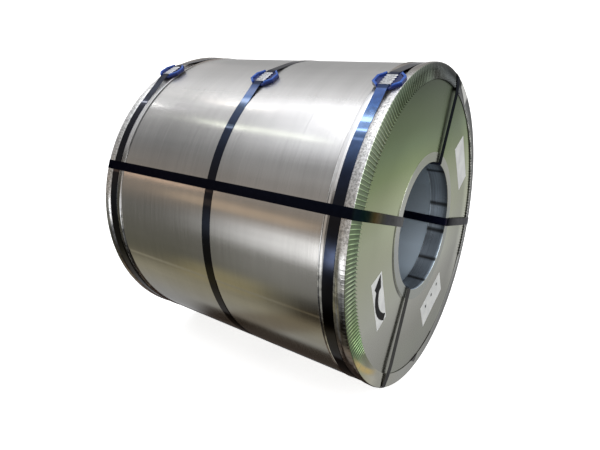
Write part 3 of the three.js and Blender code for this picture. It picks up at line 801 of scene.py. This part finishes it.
def makePad(name, node, place, finish):
    pad = {"half": 0.052, "corner": 0.032, "height": 0.0152, "draft": 0.0012, "rim": 0.0062,
           "wall": 0.0012, "ledge": 0.0094, "dish": 0.012, "dishDrop": 0.0012, "floor": 0.0076,
           "slot": 0.0262, "slotWall": 0.0008}
    bm = bmesh.new()
    bmesh.ops.create_grid(bm, x_segments=1, y_segments=1, size=pad["half"])
    bmesh.ops.bevel(bm, geom=bm.verts[:], offset=pad["corner"], offset_type="OFFSET", segments=1,
                    profile=0.5, affect="VERTICES", material=-1)
    top = bmesh.ops.extrude_face_region(bm, geom=bm.faces[:], use_keep_orig=True)["geom"]
    bmesh.ops.translate(bm, vec=(0, 0, pad["height"]), verts=vertsOf(top))
    face = [f for f in top if isinstance(f, bmesh.types.BMFace)]
    for thickness, depth in ((pad["draft"], 0.0), (pad["rim"], 0.0),
                             (pad["wall"], pad["ledge"] - pad["height"]),
                             (pad["dish"], -pad["dishDrop"])):
        bmesh.ops.inset_region(bm, faces=face, thickness=thickness, depth=depth,
                               use_even_offset=True, use_boundary=True)
    # the slot that the strap and the seal lie in
    slotEdge = pad["slot"] + pad["slotWall"]
    for x in (-slotEdge, -pad["slot"], pad["slot"], slotEdge):
        bmesh.ops.bisect_plane(bm, geom=bm.verts[:] + bm.edges[:] + bm.faces[:],
                               plane_co=(x, 0, 0), plane_no=(1, 0, 0), dist=1e-6)
    for vert in bm.verts:
        if abs(vert.co.x) < pad["slot"] + 1e-4 and vert.co.z > pad["floor"]:
            vert.co.z = pad["floor"]
    bmesh.ops.remove_doubles(bm, verts=bm.verts, dist=1e-5)
    bmesh.ops.recalc_face_normals(bm, faces=bm.faces)
    bmesh.ops.transform(bm, matrix=place, verts=bm.verts)
    finishPiece(name, bm, finish, [node], smooth=25, bevel=0.0011)


def makeSealStations():
    finish = makePadPlastic()
    for label, x, _, padRest, angle, _ in belly["straps"]:
        out = Matrix.Translation((x + belly["padAside"], padRest * cos(radians(angle)),
                                  axisHeight + padRest * sin(radians(angle))))
        upright = out @ Matrix.Rotation(radians(angle - 90), 4, "X")
        makePad("sealPad" + label, "seal_pad_" + label.lower(),
                upright @ Matrix.Translation((0, 0, belly["padGap"])), finish)
        makeSeal("bellySeal" + label, "belly_seal_" + label.lower(), belly["width"],
                 upright @ Matrix.Translation((-belly["padAside"], 0, belly["sealed"])))
    for i, (angle, aside) in enumerate(eye["straps"]):
        spoke = Matrix.Translation((0, 0, axisHeight)) @ Matrix.Rotation(radians(angle), 4, "X")
        along = (eye["sealRadius"] ** 2 - aside ** 2) ** 0.5
        stand = Matrix.Translation((-eye["sealX"], along, aside))
        lean = Matrix.Rotation(radians(eye["sealSlope"]), 4, "Z")
        makeSeal(f"eyeSeal{i + 1}", f"eye_seal_{i + 1}", eye["width"],
                 spoke @ stand @ lean @ Matrix.Rotation(-pi / 2, 4, "Y"))


makeSealStations()
print("pads and seals made")


def makeLabels():
    labels = {"arrow": [(-0.453, -0.055), (-0.380, -0.034), (-0.334, -0.228), (-0.401, -0.252)],
              "upper": [(0.302, 0.251), (0.403, 0.295), (0.495, 0.088), (0.403, 0.042)],
              "lower": [(0.002, -0.370), (0.212, -0.291), (0.253, -0.395), (0.045, -0.478)],
              "spots": [(0.062, -0.388), (0.124, -0.362), (0.182, -0.337)],
              "x": 0.56495, "thickness": 0.00018, "inkLift": 2.2, "spotHalf": 0.0065,
              "shaft": [(-0.406, -0.100), (-0.411, -0.122), (-0.4105, -0.145), (-0.405, -0.166),
                        (-0.395, -0.185), (-0.382, -0.200), (-0.366, -0.2125), (-0.347, -0.222)],
              "shaftHalf": 0.0115, "widening": 0.0015,
              "head": [(-0.387, -0.041), (-0.4285, -0.083), (-0.3815, -0.093)]}
    inkX = labels["x"] + labels["inkLift"] * labels["thickness"]
    paper = makeSpeckled("labelPaper", 22.0, 3.0, [(0.35, 225, 227, 225), (0.75, 204, 206, 206)],
                         Roughness=0.45)
    ink = makeSpeckled("labelInk", 90.0, 2.0, [(0.3, 8, 8, 9), (0.7, 14, 14, 15)],
                       Roughness=0.5, Specular_IOR_Level=0.2)

    def sheetOf(bm, name, x, finish):
        for vert in bm.verts:
            vert.co.z += axisHeight
            vert.co.x = x
        bmesh.ops.recalc_face_normals(bm, faces=bm.faces)
        if bm.faces[:][0].normal.x < 0:
            bmesh.ops.reverse_faces(bm, faces=bm.faces)
        bmesh.ops.solidify(bm, geom=bm.faces[:], thickness=labels["thickness"])
        finishPiece(name, bm, finish)

    for name in ("arrow", "upper", "lower"):
        bm = bmesh.new()
        bm.faces.new([bm.verts.new((0, y, z)) for y, z in labels[name]])
        bmesh.ops.subdivide_edges(bm, edges=bm.edges, cuts=3, use_grid_fill=True)
        sheetOf(bm, name + "Label", labels["x"] + labels["thickness"], paper)
    # the curved arrow: a band along its middle line, and a head
    shaft = [Vector(point) for point in labels["shaft"]]
    bm = bmesh.new()
    rows = []
    for i, point in enumerate(shaft):
        along = (shaft[min(len(shaft) - 1, i + 1)] - shaft[max(0, i - 1)]).normalized()
        half = labels["shaftHalf"] + labels["widening"] * i / (len(shaft) - 1)
        side = Vector((-along.y, along.x)) * half
        rows.append([bm.verts.new((0, *(point + s * side))) for s in (-1, 1)])
    for (a, b), (c, d) in zip(rows, rows[1:]):
        bm.faces.new((a, b, d, c))
    tip, left, right = [bm.verts.new((0, *point)) for point in labels["head"]]
    bm.faces.new((tip, left, rows[0][0], rows[0][1], right))
    sheetOf(bm, "labelArrow", inkX, ink)
    # plain printed spots
    bm = bmesh.new()
    for y, z in labels["spots"]:
        place = Matrix.Translation((0, y, z)) @ Matrix.Rotation(pi / 2, 4, "Y")
        bmesh.ops.create_grid(bm, x_segments=1, y_segments=1, size=labels["spotHalf"], matrix=place)
    sheetOf(bm, "labelSpots", inkX, ink)


makeLabels()
print("labels made")


def addScenery(name, bm, finish):
    mesh = bpy.data.meshes.new(name)
    bm.to_mesh(mesh)
    bm.free()
    mesh.materials.append(finish)
    piece = bpy.data.objects.new(name, mesh)
    bpy.context.scene.collection.objects.link(piece)
    return piece


def makeStage():
    stage = {"floorRadius": 9.0, "wallRadius": 14.0, "wallDrop": 0.5}
    floorFinish, _, _ = newFinish("paleFloor", Base_Color=(0.86, 0.86, 0.86), Roughness=0.9,
                                  Specular_IOR_Level=0.1, Emission_Color=(1.0, 1.0, 1.0),
                                  Emission_Strength=0.75)
    bm = bmesh.new()
    bmesh.ops.create_circle(bm, cap_ends=True, segments=96, radius=stage["floorRadius"])
    floor = addScenery("floor", bm, floorFinish)
    floor.visible_glossy = False
    floor.visible_diffuse = False
    wallFinish, _, _ = newFinish("paleWall", Base_Color=(0.9, 0.9, 0.9), Roughness=1.0,
                                 Emission_Color=(1.0, 1.0, 1.0), Emission_Strength=1.0)
    bm = bmesh.new()
    bmesh.ops.create_uvsphere(bm, u_segments=48, v_segments=24, radius=stage["wallRadius"])
    bmesh.ops.translate(bm, verts=bm.verts, vec=(0, 0, -stage["wallDrop"]))
    wall = addScenery("backdrop", bm, wallFinish)
    for ray in ("diffuse", "glossy", "transmission", "volume_scatter", "shadow"):
        setattr(wall, "visible_" + ray, False)


def addSoftLight(name, place, target, size, power, mirrored=True):
    light = bpy.data.lights.new(name, "AREA")
    light.size = size
    light.energy = power
    lamp = bpy.data.objects.new(name, light)
    lamp.location = place
    lamp.visible_glossy = mirrored
    aim = Vector(target) - Vector(place)
    lamp.rotation_euler = aim.to_track_quat("-Z", "Y").to_euler()
    bpy.context.scene.collection.objects.link(lamp)


def makeLight():
    # The soft room that the steel mirrors, by direction: "around" is in degrees about the coil's
    # axis, 0 up, 90 level on the near side and 180 down, and "along" leans from -1, to the back
    # end, to 1. A glow is (middle, half, edge, slant) around, (start, end, fade) along, colour.
    room = [(-150, 0.35), (-84, 0.53), (-67, 0.38), (-50, 0.47), (-33, 0.56), (-12, 0.9), (4, 0.74),
            (23, 0.42), (43, 0.24), (83, (0.3, 0.255, 0.21)), (100, (0.16, 0.155, 0.14)),
            (142, (0.12, 0.115, 0.085)), (150, (0.17, 0.155, 0.11)), (162, (0.33, 0.305, 0.22)),
            (187, (0.32, 0.315, 0.29)), (210, 0.3)]
    glows = [((12, 6, 28, 0), (-0.76, 2.0, 0.26), (0.88, 0.9, 0.96)),
             ((-6, 2, 7, 0), (-0.76, 2.0, 0.1), (0.5, 0.5, 0.52)),
             ((38, 8, 16, 0), (-0.76, 2.0, 0.12), (0.14, 0.14, 0.14)),
             ((63, 6, 14, 0), (-0.72, 2.0, 0.1), (0.07, 0.07, 0.07)),
             ((-50, 1, 5, 0), (-0.5, 2.0, 0.06), (0.18, 0.18, 0.18)),
             ((-62, 12, 16, 0), (0.2, 2.0, 0.15), (0.6, 0.6, 0.6)),
             ((101, 2, 13, 0), (-0.76, 2.0, 0.2), (0.85, 0.85, 0.85)),
             ((102, 2, 8, 0), (-0.5, -0.38, 0.02), (1.6, 1.6, 1.6)),
             ((118, 6, 26, 0), (-0.72, 2.0, 0.15), (0.14, 0.14, 0.14)),
             ((1.5, 0.5, 1.2, 0), (-0.85, -0.68, 0.03), (0.4, 0.4, 0.43)),
             ((8, 0.5, 1.2, 0), (-0.85, -0.72, 0.03), (0.4, 0.4, 0.43)),
             ((21.5, 0.5, 1.2, 20), (-0.75, -0.52, 0.03), (1.2, 1.3, 1.0)),
             ((-1.2, 0.4, 0.45, 0), (-0.73, -0.62, 0.02), (2.8, 2.6, 2.3)),
             ((0.2, 0.2, 0.35, 0), (-0.683, -0.655, 0.004), (8.0, 7.8, 7.2)),
             ((21.3, 0.2, 0.9, 0), (-0.705, -0.68, 0.004), (4.4, 4.4, 4.0)),
             ((5.4, 0.35, 0.7, 0), (-0.815, -0.79, 0.005), (8.0, 8.0, 7.8)),
             ((-14, 0.4, 1.0, 0), (-0.84, -0.81, 0.01), (1.2, 1.2, 1.3)),
             ((4.15, 0.15, 0.5, 0), (-0.5, -0.38, 0.02), (9.5, 9.5, 9.5)),
             ((9.2, 2.0, 5.0, 0), (-0.5, -0.38, 0.02), (1.9, 1.8, 1.7)),
             ((11.2, 0.4, 1.1, 0), (-0.5, -0.38, 0.02), (8.0, 7.5, 6.8)),
             ((18.4, 0.4, 1.0, 0), (-0.5, -0.38, 0.02), (2.2, 2.1, 2.0)),
             ((76, 0.4, 1.0, 0), (-0.85, -0.69, 0.04), (1.2, 0.75, 0.45)),
             ((85, 1, 3, 0), (-0.78, -0.5, 0.05), (0.4, 0.28, 0.17)),
             ((-58, 1, 4, 0), (-0.82, -0.69, 0.03), (0.5, 0.44, 0.4)),
             ((146, 4, 9, 0), (-0.73, -0.56, 0.04), (0.16, 0.13, 0.05))]
    shades = [((190, 8, 12, -290), (-0.66, 0.0, 0.05), (0.62, 0.56, 0.5)),
              ((203, 14, 6, 0), (-0.68, 2.0, 0.04), (0.14, 0.11, 0.09)),
              ((-144, 6, 8, 0), (-0.68, 0.0, 0.04), (0.14, 0.11, 0.09)),
              ((147, 5, 9, 0), (-0.55, 2.0, 0.05), (0.25, 0.22, 0.2)),
              ((128, 10, 8, 0), (-0.49, -0.38, 0.02), (0.4, 0.4, 0.4))]
    slantsAt = -0.6
    world = bpy.data.worlds.new("studio")
    bpy.context.scene.world = world
    world.use_nodes = True
    tree = world.node_tree
    parts = addNode(tree, "SeparateXYZ", {"Vector": addNode(tree, "TexCoord").outputs["Generated"]})
    along = parts.outputs["X"]
    near = math(tree, "MULTIPLY", parts.outputs["Y"], -1.0)
    turned = math(tree, "DEGREES", math(tree, "ARCTAN2", near, parts.outputs["Z"]))
    around = addNode(tree, "Math", {0: turned, 1: 210.0, 2: -150.0}, operation="WRAP").outputs[0]

    def window(spot, reach):
        middle, half, edge, slant = spot
        start, end, fade = reach
        off = math(tree, "SUBTRACT", around, middle)
        if slant:
            shift = addNode(tree, "Math", {0: along, 1: float(-slant), 2: slantsAt * slant},
                            operation="MULTIPLY_ADD").outputs[0]
            off = math(tree, "ADD", off, shift)
        inside = spread(tree, math(tree, "ABSOLUTE", off), half, half + edge, 1.0, 0.0, True)
        starting = spread(tree, along, start, start + fade, smooth=True)
        inside = math(tree, "MULTIPLY", inside, starting)
        if end < 1:
            ending = spread(tree, along, end - fade, end, 1.0, 0.0, True)
            inside = math(tree, "MULTIPLY", inside, ending)
        return inside

    share = spread(tree, around, -150.0, 210.0)
    glow = ramp(tree, share, [((place + 150) / 360, tone) for place, tone in room])
    for spot, reach, tone in shades:
        glow = times(tree, glow, tone, window(spot, reach))
    for spot, reach, tone in glows:
        glow = blendColours(tree, window(spot, reach), glow, tone, "ADD")
    background = tree.nodes["Background"]
    tree.links.new(glow, background.inputs["Color"])
    background.inputs["Strength"].default_value = 1.0
    addSoftLight("sideFill", (4.2, -0.6, 2.6), (0, 0, 0.6), 2.0, 30)
    addSoftLight("boreFill", (1.7, -1.5, 0.9), (0.2, 0.2, 0.62), 0.7, 5, mirrored=False)


makeStage()
makeLight()
bpy.context.scene.view_settings.view_transform = "Standard"
print("stage and light made")
